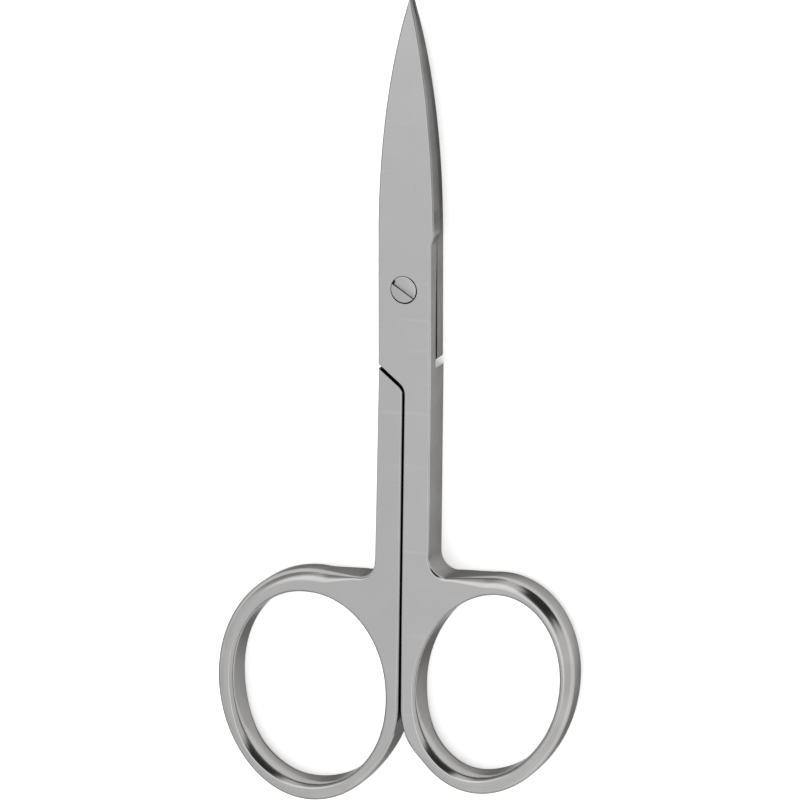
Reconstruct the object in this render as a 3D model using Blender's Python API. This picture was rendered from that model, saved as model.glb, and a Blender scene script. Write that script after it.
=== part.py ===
# Nail scissors: two forged steel halves that cross at one slotted pivot screw.
# The pivot axis is the world Z axis, the blades point along +Y and the back lies on z = 0.
# Each half is modelled in its own coordinates: its plate and blade in the upper half of the
# thickness, its shank and ring on the +X side. The back half is then turned over about Y.
import math

import bmesh
import bpy
from mathutils import Matrix, Vector
from mathutils.geometry import interpolate_bezier

mm = 0.001

# Whole tool
thickness = 4.0 * mm
face_gap = 0.3 * mm            # between the two inner faces
parting_gap = 0.3 * mm         # between the two shanks
parting_shift = 0.2 * mm       # parting line's distance from the pivot axis
parting_lean_share = 0.0098    # sideways run of the parting line for its length

# Joint plate, above and below the pivot
plate_spine_side = 2.93 * mm
plate_edge_side = 3.12 * mm
elbow_drop = 10.96 * mm        # pivot axis down to where the shoulder gap meets the parting line
shoulder_angle = math.radians(43.0)
shoulder_gap = 0.25 * mm       # from a plate's end to the other half's shank
shoulder_fillet = 1.5 * mm
rear_relief = 0.24 * mm        # the back plate stops this much shorter

# Blade
blade_length = 31.33 * mm
spine_start = 5.2 * mm         # where the spine starts to curve
tip_shift = 0.16 * mm          # the closed tips lie this far to the right of the pivot
tip_width = 0.22 * mm
heel_start = 5.28 * mm
heel_length = 1.3 * mm
heel_step = 0.41 * mm          # the cutting edge stands out past the plate's side
edge_draw = 0.08 * mm          # how far the edge has drawn in at its first handle
edge_bevel = 0.06 * mm
tip_thickness = 0.5 * mm
grind_overlap = 0.02 * mm
hollow_depth = 0.1 * mm
hollow_land = 0.45 * mm        # flat left on both sides of the hollow
spine_handle_share = 0.39
spine_reach_share = 0.74
spine_bow_share = 0.36
edge_handle_share = 0.37
edge_reach_share = 0.75
edge_bow_share = 0.58

# Shank
shank_width = 2.85 * mm
corner_radius = 2.0 * mm       # inside corner between shank and ring
shoulder_turn = math.radians(5.0)   # how far past its top the ring's oval runs on
fine_round = 0.08 * mm         # broken edge of blade, plate and shank
web_round = 0.4 * mm           # edge of the finger hole where the web is flat

# Ring bars: upright walls, broadly rounded outside and less towards the finger
outer_round = 1.15 * mm        # rounded edge of the bar outside, across the bar
outer_drop = 1.15 * mm         # and down its wall
finger_round = 0.55 * mm       # rounded edge of the bar at the hole, across the bar
finger_drop = 0.6 * mm         # and down the hole's wall
bar_land = 0.08 * mm           # flat crest left between the two on a narrow bar
corner_soft_share = 0.5        # how far the outside is rounded where the inside corner starts
foot_turn = math.radians(10.0)       # turn of the ring that its foot's bend takes up
foot_blend = math.radians(22.0)      # and over which the rounding grows after that
foot_run_share = 0.3           # last part of the shank's wall, where its edge starts to round
shoulder_run_share = 1.6       # run before the inside corner, for its radius

# Web between hole and shank: turn of the hole where it starts, is flat, starts to round and ends
web_turns = [math.radians(turn) for turn in (70.0, 112.0, 212.0, 262.0)]

# Right ring, of the front half. Bars are measured at the outer side, top, shank side and foot
right_drop = 43.31 * mm        # pivot axis down to the hole's centre
right_past_line = 0.6 * mm     # how far the ring's oval would run past its side of the parting line
right_hole_width = 16.4 * mm
right_hole_height = 20.7 * mm
right_hole_lean_share = 0.125
right_hole_fullness = 1.99     # 2 is an ellipse, more fills its quarters
right_outer_bar = 1.5 * mm
right_top_bar = 1.98 * mm
right_inner_bar = 2.11 * mm
right_foot_bar = 2.31 * mm
right_lean_share = 0.118
right_swell_share = 0.024      # the outside is wider at its top than at its foot
right_flare = 0.0 * mm         # the shank is this much wider where it meets the ring
right_dip = 0.55 * mm          # drop from the ring's top to its shoulder at the shank
right_foot_soft_share = 0.1    # how far the outside is rounded where it leaves the shank's wall

# Left ring, of the back half
left_drop = 45.92 * mm
left_past_line = 0.22 * mm
left_hole_width = 18.02 * mm
left_hole_height = 21.71 * mm
left_hole_lean_share = 0.008
left_hole_fullness = 2.08
left_outer_bar = 2.09 * mm
left_top_bar = 2.57 * mm
left_inner_bar = 2.04 * mm
left_foot_bar = 2.3 * mm
left_lean_share = -0.045
left_swell_share = 0.048
left_flare = 0.27 * mm
left_dip = 0.05 * mm
left_foot_soft_share = 0.25

# Pivot screw
head_radius = 1.42 * mm
head_height = 0.95 * mm
head_clearance = 0.12 * mm
head_seat_gap = 0.25 * mm
neck_radius = 1.0 * mm
neck_clearance = 0.08 * mm
thread_radius = 0.8 * mm
thread_clearance = 0.1 * mm
screw_chamfer = 0.08 * mm
slot_width = 0.56 * mm
slot_depth = 0.45 * mm
slot_angle = math.radians(-33.0)

# Cutters
overrun = 1.0 * mm
cutter_reach = 12.0 * mm
weld_distance = 0.001 * mm

# How finely curves are divided
ring_steps = 60
curve_steps = 14
fillet_steps = 5
round_steps = 4
turn_steps = 48
halvings = 40                  # of the span in which a crossing is looked for
hollow_rest_steps = 2          # the hollow fades out this many curve steps before the tip
corner_stretch_share = 0.5     # least cosine that lengthens an inset at a corner
tangent_turn = math.radians(0.01)       # turn small enough to stand for a tangent


mid = thickness / 2
inner_face = mid + face_gap / 2


def parting_x(side, y):
    """Own x of the parting line, which leans the same way in the world for both halves."""
    return side * (parting_shift + parting_lean_share * y)


def parting_wall(side, y):
    """Point on this half's side of the parting gap."""
    return Vector((parting_x(side, y) + parting_gap / 2, y))


class Ring:
    """Finger ring of one half: an oval hole with a bar of its own width on each side."""

    def __init__(self, side, drop, past_line, hole, hole_lean_share, hole_fullness, bars, lean_share,
                 swell_share, flare, dip, foot_soft_share):
        outer_bar, top_bar, inner_bar, foot_bar = bars
        wall = parting_wall(side, -drop)
        self.hole_centre = (wall.x - past_line + inner_bar + hole[0] / 2, -drop)
        self.hole_size = hole
        self.hole_lean_share = hole_lean_share
        self.hole_fullness = hole_fullness
        self.centre = (self.hole_centre[0] + (outer_bar - inner_bar) / 2,
                       self.hole_centre[1] + (top_bar - foot_bar) / 2)
        self.size = (hole[0] + outer_bar + inner_bar, hole[1] + top_bar + foot_bar)
        self.lean_share = lean_share
        self.swell_share = swell_share
        self.flare = flare
        self.dip = dip
        self.foot_soft_share = foot_soft_share


right_ring = Ring(
    1, right_drop, right_past_line, (right_hole_width, right_hole_height), right_hole_lean_share,
    right_hole_fullness, (right_outer_bar, right_top_bar, right_inner_bar, right_foot_bar),
    right_lean_share, right_swell_share, right_flare, right_dip, right_foot_soft_share,
)
left_ring = Ring(
    -1, left_drop, left_past_line, (left_hole_width, left_hole_height), left_hole_lean_share,
    left_hole_fullness, (left_outer_bar, left_top_bar, left_inner_bar, left_foot_bar),
    left_lean_share, left_swell_share, left_flare, left_dip, left_foot_soft_share,
)


def smooth_step(low, high, value):
    share = min(max((value - low) / (high - low), 0.0), 1.0)
    return share * share * (3.0 - 2.0 * share)


def oval(centre, size, lean_share, angle, fullness=2.0, swell_share=0.0):
    """Point of an ellipse that leans and swells with height. A fullness over 2 fills its quarters."""
    across = math.copysign(abs(math.cos(angle)) ** (2.0 / fullness), math.cos(angle))
    along = math.copysign(abs(math.sin(angle)) ** (2.0 / fullness), math.sin(angle))
    y = size[1] / 2 * along
    x = size[0] / 2 * across * (1.0 + swell_share * along) + lean_share * y
    return Vector((centre[0] + x, centre[1] + y))


def outer_oval(ring, angle):
    return oval(ring.centre, ring.size, ring.lean_share, angle, swell_share=ring.swell_share)


def foot_angle(side, ring):
    """Angle, low on the ring, where its outside comes out of the shank's wall at the parting line."""
    inside = math.pi
    outside = math.pi * 1.5
    for halving in range(halvings):
        angle = (inside + outside) / 2
        point = outer_oval(ring, angle)
        if point.x < parting_wall(side, point.y).x:
            inside = angle
        else:
            outside = angle
    return outside


def fillet(before, corner, after, radius, steps=fillet_steps):
    """Arc that rounds a corner between two straight runs."""
    to_before = (before - corner).normalized()
    to_after = (after - corner).normalized()
    half = to_before.angle(to_after) / 2
    reach = radius / math.tan(half)
    centre = corner + (to_before + to_after).normalized() * (radius / math.sin(half))
    start = corner + to_before * reach - centre
    end = corner + to_after * reach - centre
    turn = start.angle_signed(end)
    points = []
    for step in range(steps + 1):
        arm = start.copy()
        arm.rotate(Matrix.Rotation(-turn * step / steps, 2))
        points.append(centre + arm)
    return points


def foot_bend(wall_top, ring, wall_foot, angle):
    """Arc from the shank's straight wall onto the ring's outside, which it meets at this angle."""
    end = outer_oval(ring, angle)
    tangent = outer_oval(ring, angle + tangent_turn) - end
    along = wall_foot - wall_top
    across = Vector((-along.y, along.x))
    corner = end + tangent * ((wall_foot - end).dot(across) / tangent.dot(across))
    half = (wall_top - corner).angle(end - corner) / 2
    return fillet(wall_top, corner, end, (end - corner).length * math.tan(half))


def bezier(start, start_handle, end_handle, end, steps=curve_steps):
    return [Vector(point) for point in interpolate_bezier(start, start_handle, end_handle, end, steps)]


def shoulder_corner(side, offset):
    """Where a line beside the shoulder gap, this far from its middle, meets the shank's inner side."""
    elbow_x = parting_x(side, -elbow_drop)
    along = (parting_gap / 2 - offset * math.sin(shoulder_angle)) / math.cos(shoulder_angle)
    y = -elbow_drop + offset * math.cos(shoulder_angle) - along * math.sin(shoulder_angle)
    return Vector((elbow_x + parting_gap / 2, y))


def blade_spine(side):
    """Left side of the blade, from its start up to the tip."""
    rise = blade_length - spine_start
    start = Vector((-plate_spine_side, spine_start))
    start_handle = Vector((-plate_spine_side, spine_start + rise * spine_handle_share))
    end = Vector((side * tip_shift - tip_width / 2, blade_length - tip_width / 2))
    bow_x = -plate_spine_side + (end.x + plate_spine_side) * spine_bow_share
    end_handle = Vector((bow_x, spine_start + rise * spine_reach_share))
    return bezier(start, start_handle, end_handle, end)


def blade_edge(side):
    """Right side of the blade, from the heel up to the tip."""
    heel_top = heel_start + heel_length
    widest = plate_edge_side + heel_step
    rise = blade_length - heel_top
    start = Vector((widest, heel_top))
    start_handle = Vector((widest - edge_draw, heel_top + rise * edge_handle_share))
    end = Vector((side * tip_shift + tip_width / 2, blade_length - tip_width / 2))
    end_handle = Vector((end.x + (widest - end.x) * edge_bow_share, heel_top + rise * edge_reach_share))
    return bezier(start, start_handle, end_handle, end)


def half_outline(side, ring, plate_relief):
    """Outline of one half seen from its own upper side, anticlockwise.

    Each entry is a point, how far its edge is rounded as a bar, and its share of the bevel."""
    outline = []

    def add(points, soft=0.0, bevel=0.0):
        for point in points:
            outline.append((point, soft, bevel))

    # Round the tip from the cutting edge, then down the spine
    nose_centre = Vector((side * tip_shift, blade_length - tip_width / 2))
    for step in range(1, fillet_steps):
        angle = math.pi * step / fillet_steps
        arm = Vector((math.cos(angle), math.sin(angle))) * (tip_width / 2)
        add([nose_centre + arm], 0.0, 1.0 - step / fillet_steps)
    add(reversed(blade_spine(side)))

    # Plate end, along the shoulder gap and into the shank's inner side
    corner = shoulder_corner(side, shoulder_gap / 2 + plate_relief)
    end_run = (corner.x + plate_spine_side) * math.tan(shoulder_angle)
    plate_corner = Vector((-plate_spine_side, corner.y + end_run))
    start_angle = foot_angle(side, ring)
    ring_foot = outer_oval(ring, start_angle)
    elbow = fillet(plate_corner, corner, ring_foot, shoulder_fillet)
    add([plate_corner])
    add(elbow)

    # Down the parting line and round the foot onto the ring, then round its free bar to its top
    ring_start = start_angle + foot_turn
    bend = foot_bend(elbow[-1], ring, ring_foot, ring_start)
    add([bend[0] + (elbow[-1] - bend[0]) * foot_run_share])
    add(bend[:-1], ring.foot_soft_share)
    end_angle = math.pi * 2.5 + shoulder_turn
    count = round((end_angle - ring_start) / math.pi * ring_steps / 2)
    for step in range(count + 1):
        angle = ring_start + (end_angle - ring_start) * step / count
        grown = smooth_step(ring_start, ring_start + foot_blend, angle)
        add([outer_oval(ring, angle)], ring.foot_soft_share + (1.0 - ring.foot_soft_share) * grown)

    # Shoulder between ring and shank, then up the shank's outer side
    top_point = outer_oval(ring, end_angle)
    outer_side = parting_wall(side, top_point.y).x + shank_width + ring.flare
    inside_corner = Vector((outer_side, top_point.y - ring.dip))
    shoulder_end = inside_corner + Vector((corner_radius * shoulder_run_share, 0.0))
    add([(top_point + shoulder_end) / 2], (1.0 + corner_soft_share) / 2)
    shank_top_y = shoulder_corner(side, -shoulder_gap / 2).y + shank_width * math.tan(shoulder_angle)
    shank_top = parting_wall(side, shank_top_y) + Vector((shank_width, 0.0))
    for step, point in enumerate(fillet(shoulder_end, inside_corner, shank_top, corner_radius)):
        add([point], corner_soft_share * (1.0 - step / fillet_steps))
    add([shank_top])

    # Plate side, heel and cutting edge
    add([Vector((plate_edge_side, shank_top_y / 2)), Vector((plate_edge_side, heel_start))])
    add(blade_edge(side), 0.0, 1.0)
    return outline


def hole_outline(ring):
    """Finger hole, anticlockwise, its edge rounded less at the web than along the free bar."""
    outline = []
    web_start, web_flat, web_fade, web_end = web_turns
    for step in range(ring_steps):
        angle = 2 * math.pi * step / ring_steps
        into_web = smooth_step(web_start, web_flat, angle)
        out_of_web = smooth_step(web_fade, web_end, angle)
        soft = 1.0 - into_web * (1.0 - out_of_web)
        point = oval(ring.hole_centre, ring.hole_size, ring.hole_lean_share, angle, ring.hole_fullness)
        outline.append((point, soft, 0.0))
    return outline


def inward_normals(points):
    """Inward direction at each point of an anticlockwise loop, lengthened at its corners."""
    normals = []
    count = len(points)
    for index in range(count):
        before = (points[index] - points[index - 1]).normalized()
        after = (points[(index + 1) % count] - points[index]).normalized()
        left_before = Vector((-before.y, before.x))
        left_after = Vector((-after.y, after.x))
        middle = (left_before + left_after).normalized()
        normals.append(middle / max(middle.dot(left_after), corner_stretch_share))
    return normals


def edge_profile(round_in, round_up, bevel):
    """Offsets from the outline and heights up the edge, from the lower face to the upper one."""
    profile = []
    wall = mid - round_up
    for step in range(round_steps + 1):
        angle = math.pi / 2 * (1.0 - step / round_steps)
        height = -wall - round_up * math.sin(angle)
        profile.append((round_in * (1.0 - math.cos(angle)), height))
    profile += [(inset, -height) for inset, height in reversed(profile)]
    return [(inset + bevel * abs(height) / mid, mid + height) for inset, height in profile]


def outer_rounding(soft, bar):
    """Width and height of the rounded edge outside, for the bar's width there."""
    wide = min(bar - bar_land - finger_round, outer_round)
    return fine_round + soft * (wide - fine_round), fine_round + soft * (outer_drop - fine_round)


def finger_rounding(soft, bar):
    """The same towards the finger, where the bar's width makes no difference."""
    return web_round + soft * (finger_round - web_round), web_round + soft * (finger_drop - web_round)


def add_edge(mesh, outline, other_points, rounding, into_hole):
    """Wall of one loop with its rounded edges. Returns the loops of the lower and the upper face."""
    points = [entry[0] for entry in outline]
    normals = inward_normals(points)
    columns = []
    for (point, soft, bevel), normal in zip(outline, normals):
        bar = min((point - other).length for other in other_points)
        round_in, round_up = rounding(soft, bar)
        direction = -normal if into_hole else normal
        column = []
        for inset, height in edge_profile(round_in, round_up, bevel * edge_bevel):
            place = point + direction * inset
            column.append(mesh.verts.new((place.x, place.y, height)))
        columns.append(column)
    for index, column in enumerate(columns):
        following = columns[(index + 1) % len(columns)]
        for level in range(len(column) - 1):
            mesh.faces.new((column[level], following[level], following[level + 1], column[level + 1]))
    return [column[0] for column in columns], [column[-1] for column in columns]


def loop_edges(mesh, loop):
    return [mesh.edges.get((loop[index - 1], loop[index])) for index in range(len(loop))]


def new_object(name, mesh, material=None):
    bmesh.ops.recalc_face_normals(mesh, faces=mesh.faces)
    data = bpy.data.meshes.new(name)
    mesh.to_mesh(data)
    mesh.free()
    thing = bpy.data.objects.new(name, data)
    bpy.context.scene.collection.objects.link(thing)
    if material:
        data.materials.append(material)
    return thing


def steel(name, colour, roughness):
    material = bpy.data.materials.new(name)
    material.use_nodes = True
    shader = material.node_tree.nodes["Principled BSDF"]
    shader.inputs["Base Color"].default_value = (*colour, 1.0)
    shader.inputs["Roughness"].default_value = roughness
    shader.inputs["Metallic"].default_value = 1.0
    return material


def prism(name, points, low, high):
    """Straight cutter with the given plan."""
    mesh = bmesh.new()
    floor = [mesh.verts.new((point[0], point[1], low)) for point in points]
    face = mesh.faces.new(floor)
    lifted = bmesh.ops.extrude_face_region(mesh, geom=[face])
    moved = [item for item in lifted["geom"] if isinstance(item, bmesh.types.BMVert)]
    bmesh.ops.translate(mesh, verts=moved, vec=(0.0, 0.0, high - low))
    return as_cutter(new_object(name, mesh))


def as_cutter(thing):
    thing.hide_render = True
    thing.display_type = "WIRE"
    return thing


def turned(name, profile, material=None):
    """Solid of revolution about Z from radius and height pairs that start and end on the axis."""
    mesh = bmesh.new()
    verts = [mesh.verts.new((radius, 0.0, height)) for radius, height in profile]
    edges = [mesh.edges.new(pair) for pair in zip(verts, verts[1:])]
    bmesh.ops.spin(mesh, geom=verts + edges, cent=(0.0, 0.0, 0.0), axis=(0.0, 0.0, 1.0),
                   angle=2 * math.pi, steps=turn_steps, use_merge=True)
    bmesh.ops.remove_doubles(mesh, verts=mesh.verts, dist=weld_distance)
    thing = new_object(name, mesh, material)
    thing.data.shade_smooth()
    thing.data.set_sharp_from_angle(angle=math.radians(35))
    return thing


def cut(thing, cutter, name):
    modifier = thing.modifiers.new(name, "BOOLEAN")
    modifier.operation = "DIFFERENCE"
    modifier.solver = "EXACT"
    modifier.object = cutter


def step_cutter(name, side):
    """Takes away the other half's share of the thickness, down to this half's own shoulder."""
    corner = shoulder_corner(side, -shoulder_gap / 2)
    corner.x = parting_wall(side, -elbow_drop).x - grind_overlap
    slope = math.tan(shoulder_angle)
    far = Vector((cutter_reach, corner.y + (cutter_reach - corner.x) * slope))
    below = corner - Vector((0.0, cutter_reach))
    arc = fillet(far, corner, below, shoulder_fillet - shoulder_gap)
    points = [far] + arc
    points.append(Vector((arc[-1].x - cutter_reach, arc[-1].y)))
    points.append(Vector((arc[-1].x - cutter_reach, blade_length + overrun)))
    points.append(Vector((cutter_reach, blade_length + overrun)))
    return prism(name, points, -overrun, inner_face)


def taper_cutter(name):
    """Curved slab that thins the blade from the plate to its tip."""
    drop = thickness - inner_face - tip_thickness
    run = blade_length - spine_start
    lower = [(spine_start, thickness + grind_overlap)]
    for step in range(1, curve_steps + 2):
        share = step / curve_steps
        lower.append((spine_start + run * share, thickness - drop * share * share))
    mesh = bmesh.new()
    edge = [mesh.verts.new((-cutter_reach, y, z)) for y, z in lower]
    edge.append(mesh.verts.new((-cutter_reach, lower[-1][0], thickness + overrun)))
    edge.append(mesh.verts.new((-cutter_reach, lower[0][0], thickness + overrun)))
    face = mesh.faces.new(edge)
    widened = bmesh.ops.extrude_face_region(mesh, geom=[face])
    moved = [item for item in widened["geom"] if isinstance(item, bmesh.types.BMVert)]
    bmesh.ops.translate(mesh, verts=moved, vec=(2 * cutter_reach, 0.0, 0.0))
    return as_cutter(new_object(name, mesh))


def hollow_cutter(name, side):
    """Shallow trough down the blade's inner face, as the hollow grinding leaves it."""
    spine = blade_spine(side)
    edge = blade_edge(side)
    count = len(spine) - hollow_rest_steps
    mesh = bmesh.new()
    rows = []
    for index in range(count):
        left = spine[index] + Vector((hollow_land, 0.0))
        right = edge[index] - Vector((hollow_land, 0.0))
        fade = math.sqrt(math.sin(math.pi * (index + 1) / (count + 1)))
        row = [mesh.verts.new((left.x, left.y, mid - hollow_depth)),
               mesh.verts.new((right.x, right.y, mid - hollow_depth))]
        for step in range(curve_steps // 2 + 1):
            share = 1.0 - 2.0 * step / (curve_steps // 2)
            place = (left + right) / 2 + (right - left) / 2 * share
            lift = hollow_depth * fade * (1.0 - share * share)
            row.append(mesh.verts.new((place.x, place.y, inner_face - grind_overlap + lift)))
        rows.append(row)
    for lower, upper in zip(rows, rows[1:]):
        for index in range(len(lower)):
            mesh.faces.new((lower[index - 1], lower[index], upper[index], upper[index - 1]))
    mesh.faces.new(rows[0])
    mesh.faces.new(list(reversed(rows[-1])))
    bmesh.ops.triangulate(mesh, faces=mesh.faces)
    return as_cutter(new_object(name, mesh))


def make_half(name, side, ring, plate_relief, material):
    mesh = bmesh.new()
    outline = half_outline(side, ring, plate_relief)
    hole = hole_outline(ring)
    outline_points = [entry[0] for entry in outline]
    hole_points = [entry[0] for entry in hole]
    outer_low, outer_high = add_edge(mesh, outline, hole_points, outer_rounding, False)
    hole_low, hole_high = add_edge(mesh, hole, outline_points, finger_rounding, True)
    for first, second in ((outer_low, hole_low), (outer_high, hole_high)):
        rim = loop_edges(mesh, first) + loop_edges(mesh, second)
        bmesh.ops.triangle_fill(mesh, edges=rim, use_beauty=True)
    half = new_object(name, mesh, material)
    cutters = [step_cutter(name + "_step_cut", side), taper_cutter(name + "_taper_cut"),
               hollow_cutter(name + "_hollow_cut", side)]
    if side < 0:
        for thing in [half] + cutters:
            thing.rotation_euler = (0.0, math.pi, 0.0)
            thing.location = (0.0, 0.0, thickness)
    for cutter in cutters:
        cut(half, cutter, cutter.name)
    half.data.shade_smooth()
    half.data.set_sharp_from_angle(angle=math.radians(35))
    return half


def make_screw(material):
    """Flat-headed screw: head let into the front half, thread through the back half."""
    top = thickness
    head_under = top - head_height
    profile = [
        (0.0, 0.0),
        (thread_radius - screw_chamfer, 0.0),
        (thread_radius, screw_chamfer),
        (thread_radius, mid),
        (neck_radius, mid),
        (neck_radius, head_under),
        (head_radius, head_under),
        (head_radius, top - screw_chamfer),
        (head_radius - screw_chamfer, top),
        (0.0, top),
    ]
    screw = turned("pivot_screw", profile, material)
    half_slot = slot_width / 2
    reach = head_radius + overrun
    corners = [(-reach, -half_slot), (reach, -half_slot), (reach, half_slot), (-reach, half_slot)]
    slot = prism("screw_slot_cut", corners, top - slot_depth, top + overrun)
    slot.rotation_euler = (0.0, 0.0, slot_angle)
    cut(screw, slot, "slot")
    return screw


def make_bores(front, back):
    """Stepped bore in each half, from the screw's own sizes and its clearances."""
    seat = thickness - head_height - head_seat_gap
    front_profile = [
        (0.0, mid),
        (neck_radius + neck_clearance, mid),
        (neck_radius + neck_clearance, seat),
        (head_radius + head_clearance, seat),
        (head_radius + head_clearance, thickness + overrun),
        (0.0, thickness + overrun),
    ]
    back_profile = [
        (0.0, -overrun),
        (thread_radius + thread_clearance, -overrun),
        (thread_radius + thread_clearance, mid),
        (0.0, mid),
    ]
    cut(front, as_cutter(turned("front_bore_cut", front_profile)), "bore")
    cut(back, as_cutter(turned("back_bore_cut", back_profile)), "bore")


def main():
    for thing in list(bpy.data.objects):
        bpy.data.objects.remove(thing, do_unlink=True)
    bright = steel("satin_steel", (0.47, 0.465, 0.455), 0.34)
    dark = steel("satin_steel_back", (0.45, 0.445, 0.435), 0.36)
    screw_steel = steel("screw_steel", (0.43, 0.425, 0.415), 0.38)
    front = make_half("front_half", 1, right_ring, 0.0, bright)
    back = make_half("back_half", -1, left_ring, rear_relief, dark)
    make_screw(screw_steel)
    make_bores(front, back)


main()
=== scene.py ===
import math

import bpy
import numpy as np
from mathutils import Matrix


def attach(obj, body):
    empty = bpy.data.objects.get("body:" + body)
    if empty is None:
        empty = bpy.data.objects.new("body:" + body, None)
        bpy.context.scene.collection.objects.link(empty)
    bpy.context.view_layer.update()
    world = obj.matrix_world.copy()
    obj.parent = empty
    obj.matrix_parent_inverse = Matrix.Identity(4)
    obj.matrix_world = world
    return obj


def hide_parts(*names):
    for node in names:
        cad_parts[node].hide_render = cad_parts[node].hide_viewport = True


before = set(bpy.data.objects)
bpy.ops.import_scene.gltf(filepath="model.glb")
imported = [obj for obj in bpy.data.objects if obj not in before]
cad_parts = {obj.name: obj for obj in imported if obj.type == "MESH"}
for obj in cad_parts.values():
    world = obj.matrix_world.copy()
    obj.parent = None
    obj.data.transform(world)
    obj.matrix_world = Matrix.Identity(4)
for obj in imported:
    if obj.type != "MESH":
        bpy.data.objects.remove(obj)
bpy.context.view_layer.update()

print("frame loaded:", ", ".join(sorted(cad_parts)))

mm = 0.001

# One half, in its own coordinates: plate and blade in the upper half of the thickness, ring at +x
half = {
    "thickness": 4.0,
    "faceGap": 0.3,
    "partingGap": 0.2,
    "partingShift": 0.13,
    "partingLean": 0.0138,
    "plateEdgeSide": 3.12,
    "elbowDrop": 10.96,
    "shoulderAngle": math.radians(38.5),
    "shoulderGap": 0.18,
    "shoulderFillet": 1.5,
    "bladeLength": 31.33,
    "spineStart": 5.2,
    "tipShift": 0.16,
    "tipWidth": 0.22,
    "heelStart": 4.9,
    "heelLength": 1.5,
    "heelStep": 0.41,
    "edgeDraw": 0.08,
    "edgeBevel": 0.06,
    "tipThickness": 0.5,
    "hollowDepth": 0.1,
    "hollowLand": 0.45,
    "seam": (0.6, 0.34),     # rebate under the upper plate's side, deep and high
    "cornerRadius": 2.0,
    "fineRound": 0.18,       # rounding of the long edges
    "webRound": 0.4,
    "cornerRound": 0.27,     # plan rounding of the outer corners
    "tuck": 0.02,            # keeps the finer outline inside the frame's facets
    "outerRound": 1.15,      # the bar's outer edge, across and down
    "outerDrop": 1.15,
    "fingerRound": 0.5,      # its edge at the hole, across and down
    "fingerDrop": 0.55,
    "deepRound": (0.4, 1.1),  # added to them where the finger presses, at the hole's lower left
    "deepAngles": (188, 230, 250, 292),     # in degrees: starts, full, fades and ends
    "barLand": 0.08,
    "flatStrip": 0.03,       # flat beyond each rounding
    "barPower": 1.24,        # above 1 the roundings lean towards a bevel
    "cornerSoft": 0.18,
    "footTurn": math.radians(10),
    "footBlend": math.radians(22),
    "bladeRows": 90,
    "ringColumns": 190,
    "arcRows": 14,
}
rightRing = {
    "side": 1, "drop": 43.31, "pastLine": 0.306, "hole": (16.4, 20.7), "holeLean": 0.125, "fullness": 1.99,
    "bars": (1.5, 1.98, 2.11, 2.31), "lean": 0.118, "swell": 0.024, "flare": 0.08, "dip": 0.55, "relief": 0.0,
    "footSoft": 0.1, "spineSide": 2.93, "shank": 3.01,
}
leftRing = {
    "side": -1, "drop": 45.92, "pastLine": 0.424, "hole": (18.02, 21.71), "holeLean": 0.008, "fullness": 2.08,
    "bars": (2.09, 2.57, 2.04, 2.3), "lean": -0.045, "swell": 0.048, "flare": 0.19, "dip": 0.05, "relief": 0.5,
    "footSoft": 0.15, "spineSide": 3.05, "shank": 2.79,
}
mid = half["thickness"] / 2
innerFace = mid + half["faceGap"] / 2


def smoothStep(low, high, value):
    # 3s² - 2s³ of the share s of the way from low to high
    share = np.clip((value - low) / (high - low), 0, 1)
    return share * share * (3 - 2 * share)


def unit(vectors):
    return vectors / np.linalg.norm(vectors, axis=-1, keepdims=True)


def ovalPoints(centre, size, lean, angle, fullness=2.0, swell=0.0):
    # Superellipse: signed powers of cosine and sine, widened and pushed sideways by a share of the height
    across = np.sign(np.cos(angle)) * np.abs(np.cos(angle)) ** (2 / fullness)
    along = np.sign(np.sin(angle)) * np.abs(np.sin(angle)) ** (2 / fullness)
    y = size[1] / 2 * along
    return np.column_stack((centre[0] + size[0] / 2 * across * (1 + swell * along) + lean * y, centre[1] + y))


def filletPoints(before, corner, after, radius, count):
    # Arc tangent to both runs: centre on the bisector, turned in equal steps between the tangent points
    before, corner, after = (np.asarray(point, float) for point in (before, corner, after))
    toBefore, toAfter = unit(before - corner), unit(after - corner)
    halfAngle = math.acos(float(np.clip(toBefore @ toAfter, -1, 1))) / 2
    reach = radius / math.tan(halfAngle)
    centre = corner + unit(toBefore + toAfter) * (radius / math.sin(halfAngle))
    start = corner + toBefore * reach - centre
    end = corner + toAfter * reach - centre
    turn = math.atan2(start[0] * end[1] - start[1] * end[0], float(start @ end))
    angle = math.atan2(start[1], start[0]) + turn * np.linspace(0, 1, count)
    return centre + radius * np.column_stack((np.cos(angle), np.sin(angle)))


def bezierPoints(p0, p1, p2, p3, count=400):
    # Cubic Bernstein sum of four points
    t = np.linspace(0, 1, count)[:, None]
    p0, p1, p2, p3 = (np.asarray(point, float) for point in (p0, p1, p2, p3))
    return (1 - t) ** 3 * p0 + 3 * t * (1 - t) ** 2 * p1 + 3 * t * t * (1 - t) * p2 + t ** 3 * p3


def runPoints(start, end, count):
    # Equal steps on a straight run, without its two ends
    t = np.linspace(0, 1, count + 2)[1:-1, None]
    return np.asarray(start, float) * (1 - t) + np.asarray(end, float) * t


def partingWall(side, y):
    return np.array((side * (half["partingShift"] + half["partingLean"] * y) + half["partingGap"] / 2, y))


def shoulderCorner(side, offset):
    # Where a line beside the shoulder gap, this far from its middle, meets the shank's inner side
    angle = half["shoulderAngle"]
    along = (half["partingGap"] / 2 - offset * math.sin(angle)) / math.cos(angle)
    y = -half["elbowDrop"] + offset * math.cos(angle) - along * math.sin(angle)
    return np.array((partingWall(side, -half["elbowDrop"])[0], y))


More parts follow.
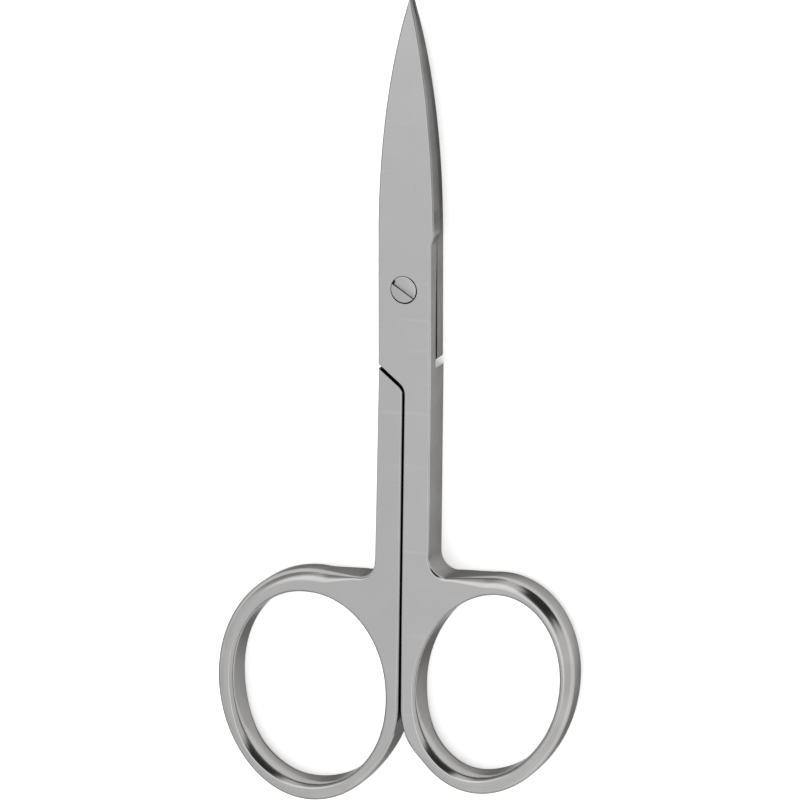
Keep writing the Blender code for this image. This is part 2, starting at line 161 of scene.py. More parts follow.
def bladeSides(ring):
    # Spine and cutting edge as cubic curves from the plate to the two sides of the round tip
    top = half["bladeLength"] - half["tipWidth"] / 2 - 2 * half["tuck"]
    heelTop = half["heelStart"] + half["heelLength"]
    widest = half["plateEdgeSide"] + half["heelStep"]
    tip = ring["side"] * half["tipShift"]
    left, right = tip - half["tipWidth"] / 2, tip + half["tipWidth"] / 2
    rise = half["bladeLength"] - half["spineStart"]
    low = -ring["spineSide"]
    spine = bezierPoints((low, half["spineStart"]), (low, half["spineStart"] + rise * 0.39),
                         (low + (left - low) * 0.36, half["spineStart"] + rise * 0.74), (left, top))
    rise = half["bladeLength"] - heelTop
    edge = bezierPoints((widest, heelTop), (widest - half["edgeDraw"], heelTop + rise * 0.37),
                        (right + (widest - right) * 0.58, heelTop + rise * 0.75), (right, top))
    return spine, edge, heelTop, top


def bladeTop(y):
    # The blade thins by the square of the way from the heel to the tip
    start = half["heelStart"] + half["heelLength"]
    share = np.clip((y - start) / (half["bladeLength"] - start), 0, 1)
    return half["thickness"] - (half["thickness"] - innerFace - half["tipThickness"]) * share * share


def bladeRoom(ring, y):
    # Half the blade's width at this height
    spine, edge = bladeSides(ring)[:2]
    return (np.interp(y, edge[:, 1], edge[:, 0]) - np.interp(y, spine[:, 1], spine[:, 0])) / 2


def ringSizes(ring):
    outerBar, topBar, innerBar, footBar = ring["bars"]
    holeCentre = (partingWall(ring["side"], -ring["drop"])[0] - ring["pastLine"] + innerBar + ring["hole"][0] / 2,
                  -ring["drop"])
    centre = (holeCentre[0] + (outerBar - innerBar) / 2, holeCentre[1] + (topBar - footBar) / 2)
    size = (ring["hole"][0] + outerBar + innerBar - 2 * half["tuck"],
            ring["hole"][1] + topBar + footBar - 2 * half["tuck"])
    return holeCentre, centre, size


def footAngle(ring, centre, size):
    # First angle, going down from the ring's inner side, where its outside leaves the shank's wall
    angle = np.linspace(math.pi, math.pi * 1.5, 6000)
    points = ovalPoints(centre, size, ring["lean"], angle, swell=ring["swell"])
    wall = ring["side"] * (half["partingShift"] + half["partingLean"] * points[:, 1]) + half["partingGap"] / 2
    return angle[np.argmax(points[:, 0] >= wall)]


def footBend(wallTop, wallFoot, centre, size, ring, angle):
    # Arc tangent to the shank's straight wall and to the ring's outside at this angle
    end, beyond = ovalPoints(centre, size, ring["lean"], np.array((angle, angle + 1e-4)), swell=ring["swell"])
    across = np.array((wallTop[1] - wallFoot[1], wallFoot[0] - wallTop[0]))
    corner = end + (beyond - end) * (((wallFoot - end) @ across) / ((beyond - end) @ across))
    halfAngle = math.acos(float(np.clip(unit(wallTop - corner) @ unit(end - corner), -1, 1))) / 2
    return filletPoints(wallTop, corner, end, np.linalg.norm(end - corner) * math.tan(halfAngle), 12)


def halfOutline(ring):
    # Anticlockwise outline in order: cutting edge, tip, spine, plate end, elbow, parting wall, free bar,
    # shoulder, shank, plate side and heel. Each run brings its points and its softness (1 = rounded as a bar).
    side = ring["side"]
    _, centre, size = ringSizes(ring)
    spine, edge, heelTop, top = bladeSides(ring)
    levels = heelTop + (top - heelTop) * (np.linspace(0, 1, half["bladeRows"]) ** 0.95)
    edgeRun = np.column_stack((np.interp(levels, edge[:, 1], edge[:, 0]), levels))
    spineRun = np.column_stack((np.interp(levels, spine[:, 1], spine[:, 0]), levels))[::-1]
    noseAngle = np.linspace(0, math.pi, 9)[1:-1]
    noseCentre = np.array((side * half["tipShift"], top))
    nose = noseCentre + half["tipWidth"] / 2 * np.column_stack((np.cos(noseAngle), np.sin(noseAngle)))

    low = -ring["spineSide"]
    corner = shoulderCorner(side, half["shoulderGap"] / 2 + ring["relief"])
    plateCorner = np.array((low, corner[1] + (corner[0] - low) * math.tan(half["shoulderAngle"])))
    startAngle = footAngle(ring, centre, size)
    ringFoot = ovalPoints(centre, size, ring["lean"], np.array([startAngle]), swell=ring["swell"])[0]
    plateEnd = filletPoints((low, 0), plateCorner, corner, half["cornerRound"], 5)
    elbow = filletPoints(plateCorner, corner, ringFoot, half["shoulderFillet"], 12)
    ringStart = startAngle + half["footTurn"]
    bend = footBend(elbow[-1], ringFoot, centre, size, ring, ringStart)
    wallTurn = bend[0] + (elbow[-1] - bend[0]) * 0.3

    endAngle = math.pi * 2.5 + math.radians(5)
    angle = np.linspace(ringStart, endAngle, half["ringColumns"])
    ringRun = ovalPoints(centre, size, ring["lean"], angle, swell=ring["swell"])
    ringSoft = ring["footSoft"] + (1 - ring["footSoft"]) * smoothStep(ringStart, ringStart + half["footBlend"], angle)

    inside = np.array((partingWall(side, ringRun[-1][1])[0] + ring["shank"] + ring["flare"],
                       ringRun[-1][1] - ring["dip"]))
    shoulderEnd = inside + np.array((half["cornerRadius"] * 1.6, 0))
    shankTopY = shoulderCorner(side, -half["shoulderGap"] / 2)[1] + ring["shank"] * math.tan(half["shoulderAngle"])
    shankTop = partingWall(side, shankTopY) + np.array((ring["shank"], 0))
    insideArc = filletPoints(shoulderEnd, inside, shankTop, half["cornerRadius"], 12)
    plateSide = np.array((half["plateEdgeSide"], shankTopY / 2))
    heelLevels = np.linspace(half["heelStart"], heelTop, 10)[:-1]
    heelShare = smoothStep(half["heelStart"], heelTop, heelLevels)
    heel = np.column_stack((half["plateEdgeSide"] + half["heelStep"] * heelShare, heelLevels))

    runs = [
        ("edge", edgeRun, 0), ("nose", nose, 0), ("spine", spineRun, 0),
        ("spineSide", runPoints((low, half["spineStart"]), plateEnd[0], 8), 0),
        ("plateEnd", plateEnd, 0), ("elbow", elbow, 0),
        ("wall", runPoints(elbow[-1], wallTurn, 10), 0),
        ("wallFoot", runPoints(wallTurn, bend[0], 8), np.linspace(0, ring["footSoft"], 8)),
        ("bend", bend[:-1], ring["footSoft"]),
        ("ring", ringRun, ringSoft),
        ("shoulder", runPoints(ringRun[-1], insideArc[0], 8), np.linspace(1, half["cornerSoft"], 8)),
        ("insideArc", insideArc, half["cornerSoft"] * np.linspace(1, 0, 12)),
        ("shank", runPoints(insideArc[-1], shankTop, 10), 0),
        ("plateSide", np.vstack((shankTop[None], runPoints(shankTop, plateSide, 2), plateSide[None],
                                 runPoints(plateSide, heel[0], 4), heel)), 0),
    ]
    points = np.vstack([run for _, run, _ in runs])
    soft = np.concatenate([np.broadcast_to(np.asarray(value, float), len(run)) for _, run, value in runs])
    starts, place = {}, 0
    for name, run, _ in runs:
        starts[name] = place
        place += len(run)
    return points, soft, starts


def inwardNormals(points):
    # Left-hand normal of an anticlockwise loop at each point, lengthened at corners so that walls stay parallel
    before = unit(points - np.roll(points, 1, axis=0))
    after = unit(np.roll(points, -1, axis=0) - points)
    leftBefore = np.column_stack((-before[:, 1], before[:, 0]))
    leftAfter = np.column_stack((-after[:, 1], after[:, 0]))
    middle = unit(leftBefore + leftAfter)
    return middle / np.maximum((middle * leftAfter).sum(axis=1), 0.5)[:, None]


def edgeWall(points, roundIn, roundUp, strip, top, bevel, outward):
    # Rows up the wall of a loop: a quarter superellipse at the bottom and one at the top, with a narrow flat
    # strip beyond each, so that the flats keep upright normals
    normals = inwardNormals(points) * (-1 if outward else 1)
    t = np.linspace(0, math.pi / 2, half["arcRows"] + 1)
    inset = roundIn[:, None] * (1 - np.abs(np.cos(t)) ** half["barPower"])[None]
    rise = roundUp[:, None] * (1 - np.sin(t) ** half["barPower"])[None]
    inset = np.hstack((inset, (roundIn + strip)[:, None]))
    rise = np.hstack((rise, np.zeros((len(points), 1))))
    insets = np.hstack((inset[:, ::-1], inset))
    heights = np.hstack((rise[:, ::-1], top[:, None] - rise))
    insets = insets + (bevel[:, None] * np.abs(heights - mid) / mid)
    places = points[:, None] + normals[:, None] * insets[:, :, None]
    return np.dstack((places, heights))


def gridFaces(columns, rows, start, flip):
    # Quads between neighbouring columns of a closed band
    i, k = np.meshgrid(np.arange(columns), np.arange(rows - 1), indexing="ij")
    following = (i + 1) % columns
    quads = np.stack((i * rows + k, following * rows + k, following * rows + k + 1, i * rows + k + 1), axis=-1)
    quads = quads.reshape(-1, 4) + start
    return quads[:, ::-1] if flip else quads


def newMesh(name, verts, faces):
    mesh = bpy.data.meshes.new(name)
    mesh.from_pydata((np.asarray(verts) * mm).tolist(), [], faces)
    mesh.validate()
    mesh.update()
    return mesh


def newObject(name, mesh):
    thing = bpy.data.objects.new(name, mesh)
    bpy.context.scene.collection.objects.link(thing)
    return thing


def cutAway(mesh, cutters):
    # Takes the cutters' volumes out of the mesh and gives back the finished mesh
    thing = newObject("blank", mesh)
    extra = []
    for index, cutter in enumerate(cutters):
        tool = newObject("cutter%d" % index, cutter)
        extra.append(tool)
        modifier = thing.modifiers.new("cut%d" % index, "BOOLEAN")
        modifier.operation = "DIFFERENCE"
        modifier.solver = "EXACT"
        modifier.object = tool
    graph = bpy.context.evaluated_depsgraph_get()
    graph.update()
    finished = bpy.data.meshes.new_from_object(thing.evaluated_get(graph))
    for tool in extra + [thing]:
        bpy.data.objects.remove(tool)
    return finished


def halfBlank(ring):
    # Closed blank: outer band, finger hole band, top and bottom flats, and rows of quads up the thinning blade
    points, soft, starts = halfOutline(ring)
    count = len(points)
    holeCentre, centre, _ = ringSizes(ring)
    holeCount = 200
    holeAngle = 2 * math.pi * np.arange(holeCount) / holeCount
    hole = ovalPoints(holeCentre, ring["hole"], ring["holeLean"], holeAngle, ring["fullness"])
    intoWeb = smoothStep(math.radians(70), math.radians(112), holeAngle)
    outOfWeb = smoothStep(math.radians(212), math.radians(262), holeAngle)
    holeSoft = 1 - intoWeb * (1 - outOfWeb)
    fineAngle = np.linspace(0, 2 * math.pi, 2400)
    fineHole = ovalPoints(holeCentre, ring["hole"], ring["holeLean"], fineAngle, ring["fullness"])
    bevel = np.zeros(count)
    bevel[:starts["nose"]] = half["edgeBevel"]
    bevel[starts["nose"]:starts["spine"]] = half["edgeBevel"] * np.linspace(1, 0, starts["spine"] - starts["nose"])
    bevel[:starts["spine"]] *= np.clip(bladeRoom(ring, points[:starts["spine"], 1]) - 0.2, 0, 1)
    room = np.ones(count)
    room[:starts["spineSide"]] = bladeRoom(ring, points[:starts["spineSide"], 1])
    small = np.minimum(half["fineRound"], room * 0.45)
    bar = np.sqrt(((points[:, None] - fineHole[None]) ** 2).sum(axis=2)).min(axis=1)
    roundIn = small + soft * (np.minimum(bar - half["barLand"] - half["fingerRound"], half["outerRound"]) - small)
    roundUp = small + soft * (half["outerDrop"] - small)
    strip = np.minimum(half["flatStrip"], room * 0.15)
    outer = edgeWall(points, roundIn, roundUp, strip, bladeTop(points[:, 1]), bevel, False)
    facing = holeAngle if ring["side"] > 0 else (math.pi - holeAngle) % (2 * math.pi)
    deepStart, deepFull, deepFade, deepEnd = (math.radians(angle) for angle in half["deepAngles"])
    deep = smoothStep(deepStart, deepFull, facing) * (1 - smoothStep(deepFade, deepEnd, facing))
    holeIn, holeUp = (half["webRound"] + holeSoft * (half[edge] - half["webRound"]) + deep * added
                      for edge, added in zip(("fingerRound", "fingerDrop"), half["deepRound"]))
    inner = edgeWall(hole, holeIn, holeUp, np.full(holeCount, half["flatStrip"]),
                     np.full(holeCount, half["thickness"]), np.zeros(holeCount), True)
    rows = outer.shape[1]
    verts = np.vstack((outer.reshape(-1, 3), inner.reshape(-1, 3)))
    faces = gridFaces(count, rows, 0, False).tolist() + gridFaces(holeCount, rows, count * rows, True).tolist()

    outerTop = np.arange(count) * rows + rows - 1
    innerTop = count * rows + np.arange(holeCount) * rows + rows - 1
    outerLow, innerLow = outerTop - rows + 1, innerTop - rows + 1

    # Blade rows, then the nose
    edgeTop = outerTop[:starts["nose"]]
    spineTop = outerTop[starts["spine"]:starts["spineSide"]][::-1]
    faces += np.column_stack((edgeTop[:-1], edgeTop[1:], spineTop[1:], spineTop[:-1])).tolist()
    faces.append(outerTop[starts["nose"] - 1:starts["spine"] + 1].tolist())

    # Flats: each is split by two seams across the ring, at its top and its foot
    ringSlice = slice(starts["ring"], starts["shoulder"])
    ringAngle = np.arctan2(points[ringSlice, 1] - centre[1], points[ringSlice, 0] - centre[0]) % (2 * math.pi)
    lowIndex = starts["ring"] + int(np.argmin(np.abs(ringAngle - 1.5 * math.pi)))
    highIndex = starts["ring"] + int(np.argmin(np.abs(ringAngle - 0.5 * math.pi)))
    quarter = holeCount // 4
    webArc = np.arange(3 * quarter, quarter - 1, -1)
    barArc = np.arange(5 * quarter, 3 * quarter - 1, -1) % holeCount
    shankLoop = np.concatenate((np.arange(highIndex, count), [0], np.arange(starts["spineSide"] - 1, lowIndex + 1)))
    wholeLoop = np.concatenate((np.arange(highIndex, count), np.arange(0, lowIndex + 1)))
    barLoop = np.arange(lowIndex, highIndex + 1)
    faces.append(np.concatenate((outerTop[shankLoop], innerTop[webArc])).tolist())
    faces.append(np.concatenate((outerTop[barLoop], innerTop[barArc])).tolist())
    faces.append(np.concatenate((outerLow[wholeLoop], innerLow[webArc]))[::-1].tolist())
    faces.append(np.concatenate((outerLow[barLoop], innerLow[barArc]))[::-1].tolist())
    return newMesh("blank", verts, faces)


def prismMesh(name, plan, low, high):
    # A plan outline raised straight up
    count = len(plan)
    verts = np.vstack((np.column_stack((plan, np.full(count, low))), np.column_stack((plan, np.full(count, high)))))
    index = np.arange(count)
    following = (index + 1) % count
    sides = np.column_stack((index, following, following + count, index + count)).tolist()
    return newMesh(name, verts, sides + [index[::-1].tolist(), (index + count).tolist()])


def stepCutter(ring):
    # Takes away the other half's share of the thickness, down to this half's own shoulder
    corner = shoulderCorner(ring["side"], -half["shoulderGap"] / 2) - np.array((0.02, 0))
    slope = math.tan(half["shoulderAngle"])
    reach = 12
    far = np.array((reach, corner[1] + (reach - corner[0]) * slope))
    arc = filletPoints(far, corner, corner - np.array((0, reach)), half["shoulderFillet"] - half["shoulderGap"], 12)
    top = half["bladeLength"] + 1
    plan = np.vstack((far[None], arc, [(arc[-1][0] - reach, arc[-1][1]), (arc[-1][0] - reach, top), (reach, top)]))
    return prismMesh("step", plan[::-1], -1, innerFace)


def grooveCutter(ring):
    # Rectangle carried up the plate's side, lower towards the heel: a dark seam shows between the plates
    side, (deep, high) = half["plateEdgeSide"], half["seam"]
    over, under = 0.2, 0.05       # past the side, and below the inner face
    heights = np.array((1, 1, 0.02))
    start = shoulderCorner(ring["side"], -half["shoulderGap"] / 2)[1]
    start += ring["shank"] * math.tan(half["shoulderAngle"])
    path = np.array(((partingWall(ring["side"], start)[0] + ring["shank"], start),
                     (side, start / 2), (side, half["heelStart"])))
    section = np.array(((-deep, 0), (over, 0), (over, 1), (-deep, 1)))
    rise = innerFace - under + section[None, :, 1] * (under + high * heights)[:, None]
    verts = np.dstack((path[:, None, 0] + section[None, :, 0],
                       np.broadcast_to(path[:, None, 1], (3, 4)), rise)).reshape(-1, 3)
    i, k = np.meshgrid(np.arange(2), np.arange(4), indexing="ij")
    following = (k + 1) % 4
    quads = np.stack((i * 4 + k, (i + 1) * 4 + k, (i + 1) * 4 + following, i * 4 + following), axis=-1)
    return fixOutward(newMesh("groove", verts, quads.reshape(-1, 4).tolist() + [[0, 1, 2, 3], [11, 10, 9, 8]]))


def hollowCutter(ring):
    # Trough down the blade's inner face: a parabola across, whose depth fades at both ends
    spine, edge, heelTop, top = bladeSides(ring)
    rows, columns = 60, 17
    levels = np.linspace(heelTop + 0.4, top - 2.5, rows)
    left = np.interp(levels, spine[:, 1], spine[:, 0]) + half["hollowLand"]
    right = np.interp(levels, edge[:, 1], edge[:, 0]) - half["hollowLand"]
    fade = np.sqrt(np.sin(np.linspace(0.04, math.pi - 0.04, rows)))
    across = np.linspace(0, 1, columns)
    x = left[:, None] * (1 - across) + right[:, None] * across
    y = np.repeat(levels[:, None], columns, axis=1)
    z = innerFace - 0.02 + half["hollowDepth"] * fade[:, None] * (4 * across * (1 - across))
    upper = np.dstack((x, y, z))
    low = np.dstack((x[:, ::columns - 1], y[:, ::columns - 1], np.full((rows, 2), mid - 0.1)))
    section = np.concatenate((upper[:, ::-1], low), axis=1)
    count = columns + 2
    i, k = np.meshgrid(np.arange(rows - 1), np.arange(count), indexing="ij")
    following = (k + 1) % count
    quads = np.stack((i * count + k, (i + 1) * count + k, (i + 1) * count + following, i * count + following), axis=-1)
    faces = quads.reshape(-1, 4)[:, ::-1].tolist()
    faces += [np.arange(count)[::-1].tolist(), (np.arange(count) + (rows - 1) * count).tolist()]
    mesh = newMesh("hollow", section.reshape(-1, 3), faces)
    return fixOutward(mesh)


def turnedMesh(name, profile, turns):
    # A profile of radius and height carried round the z axis, with single points where it meets the axis
    profile = np.asarray(profile, float)
    angle = 2 * math.pi * np.arange(turns) / turns
    body = profile[1:-1]
    ring = np.stack((body[None, :, 0] * np.cos(angle)[:, None], body[None, :, 0] * np.sin(angle)[:, None],
                     np.broadcast_to(body[None, :, 1], (turns, len(body)))), axis=-1)
    verts = np.vstack((ring.reshape(-1, 3), [(0, 0, profile[0][1]), (0, 0, profile[-1][1])]))
    rows = len(body)
    faces = gridFaces(turns, rows, 0, False).tolist()
    i = np.arange(turns)
    following = (i + 1) % turns
    faces += np.column_stack((np.full(turns, turns * rows), following * rows, i * rows)).tolist()
    faces += np.column_stack((np.full(turns, turns * rows + 1), (i + 1) * rows - 1,
                              (following + 1) * rows - 1)).tolist()
    return fixOutward(newMesh(name, verts, faces))


def fixOutward(mesh):
    # Turns the faces over when the mesh holds a negative volume
    mesh.calc_loop_triangles()
    co = np.zeros(len(mesh.vertices) * 3)
    mesh.vertices.foreach_get("co", co)
    tri = np.zeros(len(mesh.loop_triangles) * 3, int)
    mesh.loop_triangles.foreach_get("vertices", tri)
    a, b, c = np.moveaxis(co.reshape(-1, 3)[tri.reshape(-1, 3)], 1, 0)
    if np.einsum("ij,ij->i", a, np.cross(b, c)).sum() < 0:
        mesh.flip_normals()
    return mesh


screw = {
    "headRadius": 1.46, "headHeight": 0.95, "headClearance": 0.065, "seatGap": 0.25,
    "headOffset": (0.045, -0.032),     # the recess sits a little off the screw, so its rim shows on one side
    "neckRadius": 1.0, "neckClearance": 0.08, "threadRadius": 0.8, "threadClearance": 0.1,
    "slotWidth": 0.5, "slotDepths": (0.19, 0.1, 0.02, 0.05), "slotAngle": math.radians(-31), "round": 0.1,
    "slotEnd": 0.26, "slotEndSides": (-0.22, 0.34), "slotEndDepth": 0.6,
}


def roundedCorner(radius, height, size, count, upward):
    # Quarter circle between a side wall and an end face of a turned piece
    t = np.linspace(0, math.pi / 2, count)
    z = height - size + size * np.sin(t) if upward else height + size - size * np.cos(t)
    r = radius - size + size * np.cos(t) if upward else radius - size + size * np.sin(t)
    return np.column_stack((r, z))


def boreCutters(front):
    # Stepped bore, opened a little at its mouth so that its rim is softly broken
    top = half["thickness"]
    if front:
        r, lip = screw["headRadius"] + screw["headClearance"], 0.03
        t = np.linspace(0, math.pi / 2, 5)
        mouth = np.column_stack((r + lip * (1 - np.cos(t)), top - lip + (lip + 0.002) * np.sin(t)))
        seat = top - screw["headHeight"] - screw["seatGap"]
        neck = screw["neckRadius"] + screw["neckClearance"]
        profile = np.vstack(([(0, seat), (r, seat)], mouth, [(r + lip, top + 1), (0, top + 1)]))
        recess = turnedMesh("recess", profile, 128)
        recess.transform(Matrix.Translation((screw["headOffset"][0] * mm, screw["headOffset"][1] * mm, 0)))
        return [recess, turnedMesh("bore", ((0, mid), (neck, mid), (neck, seat + 0.1), (0, seat + 0.1)), 96)]
    # In the back half's own coordinates its outer face is the top
    r, lip = screw["threadRadius"] + screw["threadClearance"], 0.04
    t = np.linspace(0, math.pi / 2, 4)
    mouth = np.column_stack((r + lip * (1 - np.cos(t)), top - lip + (lip + 0.002) * np.sin(t)))
    profile = np.vstack(([(0, mid), (r, mid)], mouth, [(r + lip, top + 1), (0, top + 1)]))
    return [turnedMesh("bore", profile, 96)]


finish = {"sharpAngle": math.radians(32), "bevelWidth": 0.025, "bevelAngle": math.radians(50)}


def finishShape(name, mesh, body, node):
    # Breaks the sharp edges, keeps the flats' normals upright, ties the piece to its body and hides the frame's node
    mesh.shade_smooth()
    mesh.set_sharp_from_angle(angle=finish["sharpAngle"])
    thing = newObject(name, mesh)
    bevel = thing.modifiers.new("brokenEdges", "BEVEL")
    bevel.width = finish["bevelWidth"] * mm
    bevel.segments = 2
    bevel.limit_method = "ANGLE"
    bevel.angle_limit = finish["bevelAngle"]
    bevel.use_clamp_overlap = True
    weighted = thing.modifiers.new("flatNormals", "WEIGHTED_NORMAL")
    weighted.keep_sharp = True
    weighted.weight = 80
    graph = bpy.context.evaluated_depsgraph_get()
    graph.update()
    done = bpy.data.meshes.new_from_object(thing.evaluated_get(graph))
    done.name = name
    thing.modifiers.clear()
    thing.data = done
    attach(thing, body)
    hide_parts(node)
    return thing


frontMesh = cutAway(halfBlank(rightRing), [stepCutter(rightRing), hollowCutter(rightRing), grooveCutter(rightRing)]
                    + boreCutters(True))
frontHalf = finishShape("frontHalf", frontMesh, "front", "front_half")
print("front half made:", len(frontHalf.data.polygons), "faces")

backMesh = cutAway(halfBlank(leftRing), [stepCutter(leftRing), hollowCutter(leftRing)] + boreCutters(False))
backMesh.transform(Matrix.Translation((0, 0, half["thickness"] * mm)) @ Matrix.Rotation(math.pi, 4, "Y"))
backHalf = finishShape("backHalf", backMesh, "back", "back_half")
print("back half made:", len(backHalf.data.polygons), "faces")


def screwMesh():
    # Head, neck and flush end as one turned profile, with the driver slot cut across the head
    top = half["thickness"]
    under = top - screw["headHeight"]
    head = roundedCorner(screw["headRadius"], top, screw["round"], 6, True)
    end = roundedCorner(screw["threadRadius"], 0, 0.08, 5, False)
    profile = np.vstack(([(0, 0)], end, [(screw["threadRadius"], mid), (screw["neckRadius"], mid),
                         (screw["neckRadius"], under), (screw["headRadius"], under)], head, [(0, top)]))
    body = turnedMesh("screw", profile, 128)
    w, reach = screw["slotWidth"] / 2, screw["headRadius"] + 1
    turn = np.array(((math.cos(screw["slotAngle"]), math.sin(screw["slotAngle"])),
                     (-math.sin(screw["slotAngle"]), math.cos(screw["slotAngle"]))))
    plan = np.array(((-reach, -w), (reach, -w), (reach, w), (-reach, w))) @ turn
    near = screw["headRadius"] - screw["slotEnd"]
    low, high = screw["slotEndSides"]
    end = np.array(((-reach, low), (-near, low), (-near, high), (-reach, high))) @ turn
    return cutAway(body, [prismMesh("slot", plan, top - np.array(screw["slotDepths"]), top + 1),
                          prismMesh("slotEnd", end, top - screw["slotEndDepth"], top + 0.9)])


pivotScrew = finishShape("pivotScrew", screwMesh(), "back", "pivot_screw")
print("pivot screw made:", len(pivotScrew.data.polygons), "faces")


class Wire:
    # A socket that adds its own Math nodes when it is used in sums and products
    def __init__(self, graph, socket):
        self.graph, self.socket = graph, socket

    def math(self, operation, first, second):
        return self.graph.add("ShaderNodeMath", {"operation": operation}, {0: first, 1: second})

    def __add__(self, other): return self.math("ADD", self, other)
    def __radd__(self, other): return self.math("ADD", other, self)
    def __sub__(self, other): return self.math("SUBTRACT", self, other)
    def __rsub__(self, other): return self.math("SUBTRACT", other, self)
    def __mul__(self, other): return self.math("MULTIPLY", self, other)
    def __rmul__(self, other): return self.math("MULTIPLY", other, self)


class Graph:
    # The node tree of a material or a world, and its shader node
    def __init__(self, owner, shader="Principled BSDF"):
        owner.use_nodes = True
        self.owner = owner
        self.tree = owner.node_tree
        self.shader = self.tree.nodes[shader]

    def link(self, value, socket):
        if isinstance(value, Wire):
            self.tree.links.new(value.socket, socket)
        else:
            socket.default_value = value

    def add(self, kind, settings=None, sockets=None, out=0):
        node = self.tree.nodes.new(kind)
        for key, value in (settings or {}).items():
            setattr(node, key, value)
        for key, value in (sockets or {}).items():
            self.link(value, node.inputs[key])
        return Wire(self, node.outputs[out])

    def smoothRange(self, value, low, high, top=1.0):
        # 0 below low, top above high, smooth between
        return self.add("ShaderNodeMapRange", {"interpolation_type": "SMOOTHSTEP"},
                        {0: value, 1: low, 2: high, 3: 0.0, 4: top})

    def noise(self, place, scale, detail=2.0, roughness=0.5):
        return self.add("ShaderNodeTexNoise", {"noise_dimensions": "3D"},
                        {"Vector": place, "Scale": scale, "Detail": detail, "Roughness": roughness})

    def stretched(self, place, scale, turn=(0, 0, 0)):
        return self.add("ShaderNodeMapping", {"vector_type": "POINT"},
                        {"Vector": place, "Rotation": turn, "Scale": scale})

    def mixColour(self, factor, first, second, kind="MIX"):
        node = self.tree.nodes.new("ShaderNodeMix")
        node.data_type = "RGBA"
        node.blend_type = kind
        self.link(factor, node.inputs["Factor"])
        self.link(first, node.inputs[6])
        self.link(second, node.inputs[7])
        return Wire(self, node.outputs[2])


steel = {
    "colour": (0.345, 0.345, 0.345),
    "warmReflection": (1.0, 0.988, 0.972),       # painted warm reflection: tint of walls and roundings
    "grazing": (0.26, 0.26, 0.26),     # darker where it is seen edge on
    "flatLevels": (0.9, 0.995),        # how upright a face is where it starts to count as flat, and is
    "flatRoughness": 0.28,
    "ringRoughness": 0.16,
    "brushTurn": math.radians(-4),
    "brushFine": 5200.0,      # lines to the metre, across the brush marks
    "brushLong": 170.0,
    "grain": 2600.0,
    "cloud": 240.0,
    "mottle": 0.32,           # uneven tone of the tumbled walls
    "flatCloud": 0.05,        # the same on every face
    "brushTone": 0.02,
    "brushRough": 0.02,
    "cloudRough": 0.06,
    "markLevels": (0.6, 0.78),
    "markTone": 0.09,         # the few brighter lines of the brushing
    "bladeSideShade": 0.38,        # share of painted shade on the blade's side walls
    "bladeShadeLevels": (0.004, 0.008),    # metres above the screw where the painted shade on the blade's sides begins
    "bump": 0.003,
    "bumpGrain": 0.3,
    "bumpDistance": 0.00004,
    "streakLong": 75.0,
    "streakFine": 1050.0,
}


def steelMaterial(name, look, shade=1.0, roughnessShift=0.0):
    # Satin steel: flat faces brushed across, walls and roundings tumbled smoother and tinted with a painted warm
    # reflection, the blade's sides darkened with painted shade
    g = Graph(bpy.data.materials.new(name))
    place = g.add("ShaderNodeTexCoord", out=3)
    upright = g.add("ShaderNodeSeparateXYZ", None, {0: g.add("ShaderNodeNewGeometry", out=1)}, 2)
    flat = g.smoothRange(g.add("ShaderNodeMath", {"operation": "ABSOLUTE"}, {0: upright}), *look["flatLevels"])
    brush = g.noise(g.stretched(place, (look["brushLong"], look["brushFine"], look["brushLong"] * 3),
                                (0, 0, look["brushTurn"])), 1.0, 3.0, 0.6)
    grain = g.noise(place, look["grain"], 2.0, 0.5)
    cloud = g.noise(place, look["cloud"], 3.0, 0.55)
    satin = look["ringRoughness"] + roughnessShift + flat * (look["flatRoughness"] - look["ringRoughness"])
    roughness = satin + (brush - 0.5) * flat * look["brushRough"] + (cloud - 0.5) * look["cloudRough"]
    level = g.add("ShaderNodeSeparateXYZ", None, {0: place}, 1)
    # painted shade on the blade's side walls, fading in above the screw
    bladeShade = g.smoothRange(level, *look["bladeShadeLevels"])
    streak = g.noise(g.stretched(place, (look["streakLong"], look["streakFine"], look["streakLong"]),
                                 (0, 0, look["brushTurn"])), 1.0, 2.0, 0.5)
    marks = g.smoothRange(streak, *look["markLevels"])
    # tone: random cloud and brush variation and a few brighter brush lines, less the painted shade on the blade's
    # sides
    tone = (1.0 + (cloud - 0.5) * (look["flatCloud"] + (1.0 - flat) * look["mottle"])
            + (brush - 0.5) * flat * look["brushTone"] + marks * flat * look["markTone"]
            - bladeShade * (1.0 - flat) * look["bladeSideShade"])
    base = np.array(look["colour"]) * shade
    # walls and roundings get the painted warm reflection, flats keep the plain steel
    tinted = g.mixColour(flat, (*(base * look["warmReflection"]), 1), (*base, 1))
    shadeColour = g.add("ShaderNodeVectorMath", {"operation": "SCALE"}, {0: tinted, "Scale": tone})
    bump = g.add("ShaderNodeBump", None, {"Height": brush * flat + grain * look["bumpGrain"],
                                          "Strength": look["bump"], "Distance": look["bumpDistance"]})
    g.shader.inputs["Metallic"].default_value = 1.0
    g.shader.inputs["Specular Tint"].default_value = (*look["grazing"], 1)
    g.link(shadeColour, g.shader.inputs["Base Color"])
    g.link(roughness, g.shader.inputs["Roughness"])
    g.link(bump, g.shader.inputs["Normal"])
    return g.owner


frontSteel = steelMaterial("frontSteel", steel)
# the back half's copy of the steel is 3% darker than the front's: painted shade
backSteel = steelMaterial("backSteel", steel, 0.97)
screwSteel = steelMaterial("screwSteel", steel, 0.95, 0.03)
for thing, material in ((frontHalf, frontSteel), (backHalf, backSteel), (pivotScrew, screwSteel)):
    thing.data.materials.clear()
    thing.data.materials.append(material)
print("steel finished")

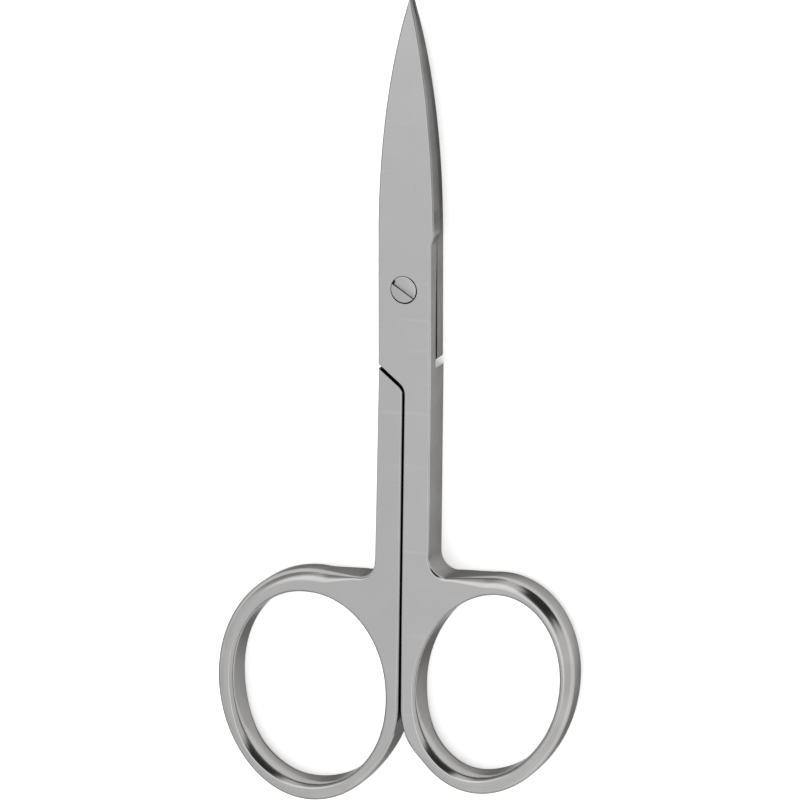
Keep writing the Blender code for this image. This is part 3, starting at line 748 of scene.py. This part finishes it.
# Floor: a pale table, glowing a little, just clear of the scissors' back
table = {"reach": 3, "height": -5e-5, "shade": 0.95, "roughness": 0.9, "glow": 0.4}
floorMesh = bpy.data.meshes.new("floor")
floorMesh.from_pydata([(x * table["reach"], y * table["reach"], table["height"])
                       for x, y in ((-1, -1), (1, -1), (1, 1), (-1, 1))], [], [(0, 1, 2, 3)])
floor = newObject("floor", floorMesh)
paleFloor = Graph(bpy.data.materials.new("paleFloor"))
paleFloor.shader.inputs["Base Color"].default_value = (table["shade"],) * 3 + (1,)
paleFloor.shader.inputs["Roughness"].default_value = table["roughness"]
paleFloor.shader.inputs["Specular IOR Level"].default_value = 0.0
paleFloor.shader.inputs["Emission Color"].default_value = (1, 1, 1, 1)
paleFloor.shader.inputs["Emission Strength"].default_value = table["glow"]
floorMesh.materials.append(paleFloor.owner)

# Camera: a long lens, from the right of straight above and towards the tips; lengths in millimetres
view = {"target": (0.8143, -11.3675, 6.9561), "tilt": math.radians(22), "rise": math.radians(15), "distance": 700.0,
        "width": 85.434}
back = np.array((math.sin(view["tilt"]) * math.cos(view["rise"]), math.sin(view["rise"]),
                 math.cos(view["tilt"]) * math.cos(view["rise"])))
right = np.array((math.cos(view["tilt"]), 0, -math.sin(view["tilt"])))
up = np.cross(back, right)
cameraData = bpy.data.cameras.new("camera")
cameraData.sensor_width = 36
cameraData.lens = 36 * view["distance"] / view["width"]
cameraData.clip_start = 0.01
camera = newObject("camera", cameraData)
place = (np.array(view["target"]) + view["distance"] * back) * mm
turned = np.eye(4)
turned[:3, 0], turned[:3, 1], turned[:3, 2], turned[:3, 3] = right, up, back, place
camera.matrix_world = Matrix(turned.tolist())
bpy.context.scene.camera = camera

# A white tent round the table: an even glow and a few soft panels, each a direction, the angles at which it is
# full and gone, and the light it adds or, where negative, takes away; the least light is kept above nothing
tent = {
    "glow": 1.17,
    "least": 0.06,
    "panels": [
        ((0.38, 0.55, 0.74), 14, 28, -1.10),      # the dark side of the room
        ((0.59, 0.79, 0.17), 20, 38, -1.10),
        ((-0.70, 0.70, 0.10), 8, 36, -0.65),
        ((0.06, -0.08, 0.99), 8, 26, 0.82),       # overhead
        ((-0.36, 0.50, 0.79), 13, 31, 0.78),
        ((0.13, -0.98, 0.15), 15, 60, 0.12),      # the bright front
    ],
}
studio = Graph(bpy.data.worlds.new("studio"), "Background")
bpy.context.scene.world = studio.owner
direction = studio.add("ShaderNodeTexCoord")
light = tent["glow"]
for place, full, gone, added in tent["panels"]:
    towards = studio.add("ShaderNodeVectorMath", {"operation": "DOT_PRODUCT"},
                         {0: direction, 1: tuple(unit(np.array(place, float)))}, "Value")
    light = studio.smoothRange(towards, math.cos(math.radians(gone)), math.cos(math.radians(full)), added) + light
light = studio.add("ShaderNodeMath", {"operation": "MAXIMUM"}, {0: light, 1: tent["least"]})
studio.shader.inputs["Color"].default_value = (1, 1, 1, 1)
studio.link(light, studio.shader.inputs["Strength"])
bpy.context.scene.view_settings.view_transform = "Standard"
print("camera, floor and light set")
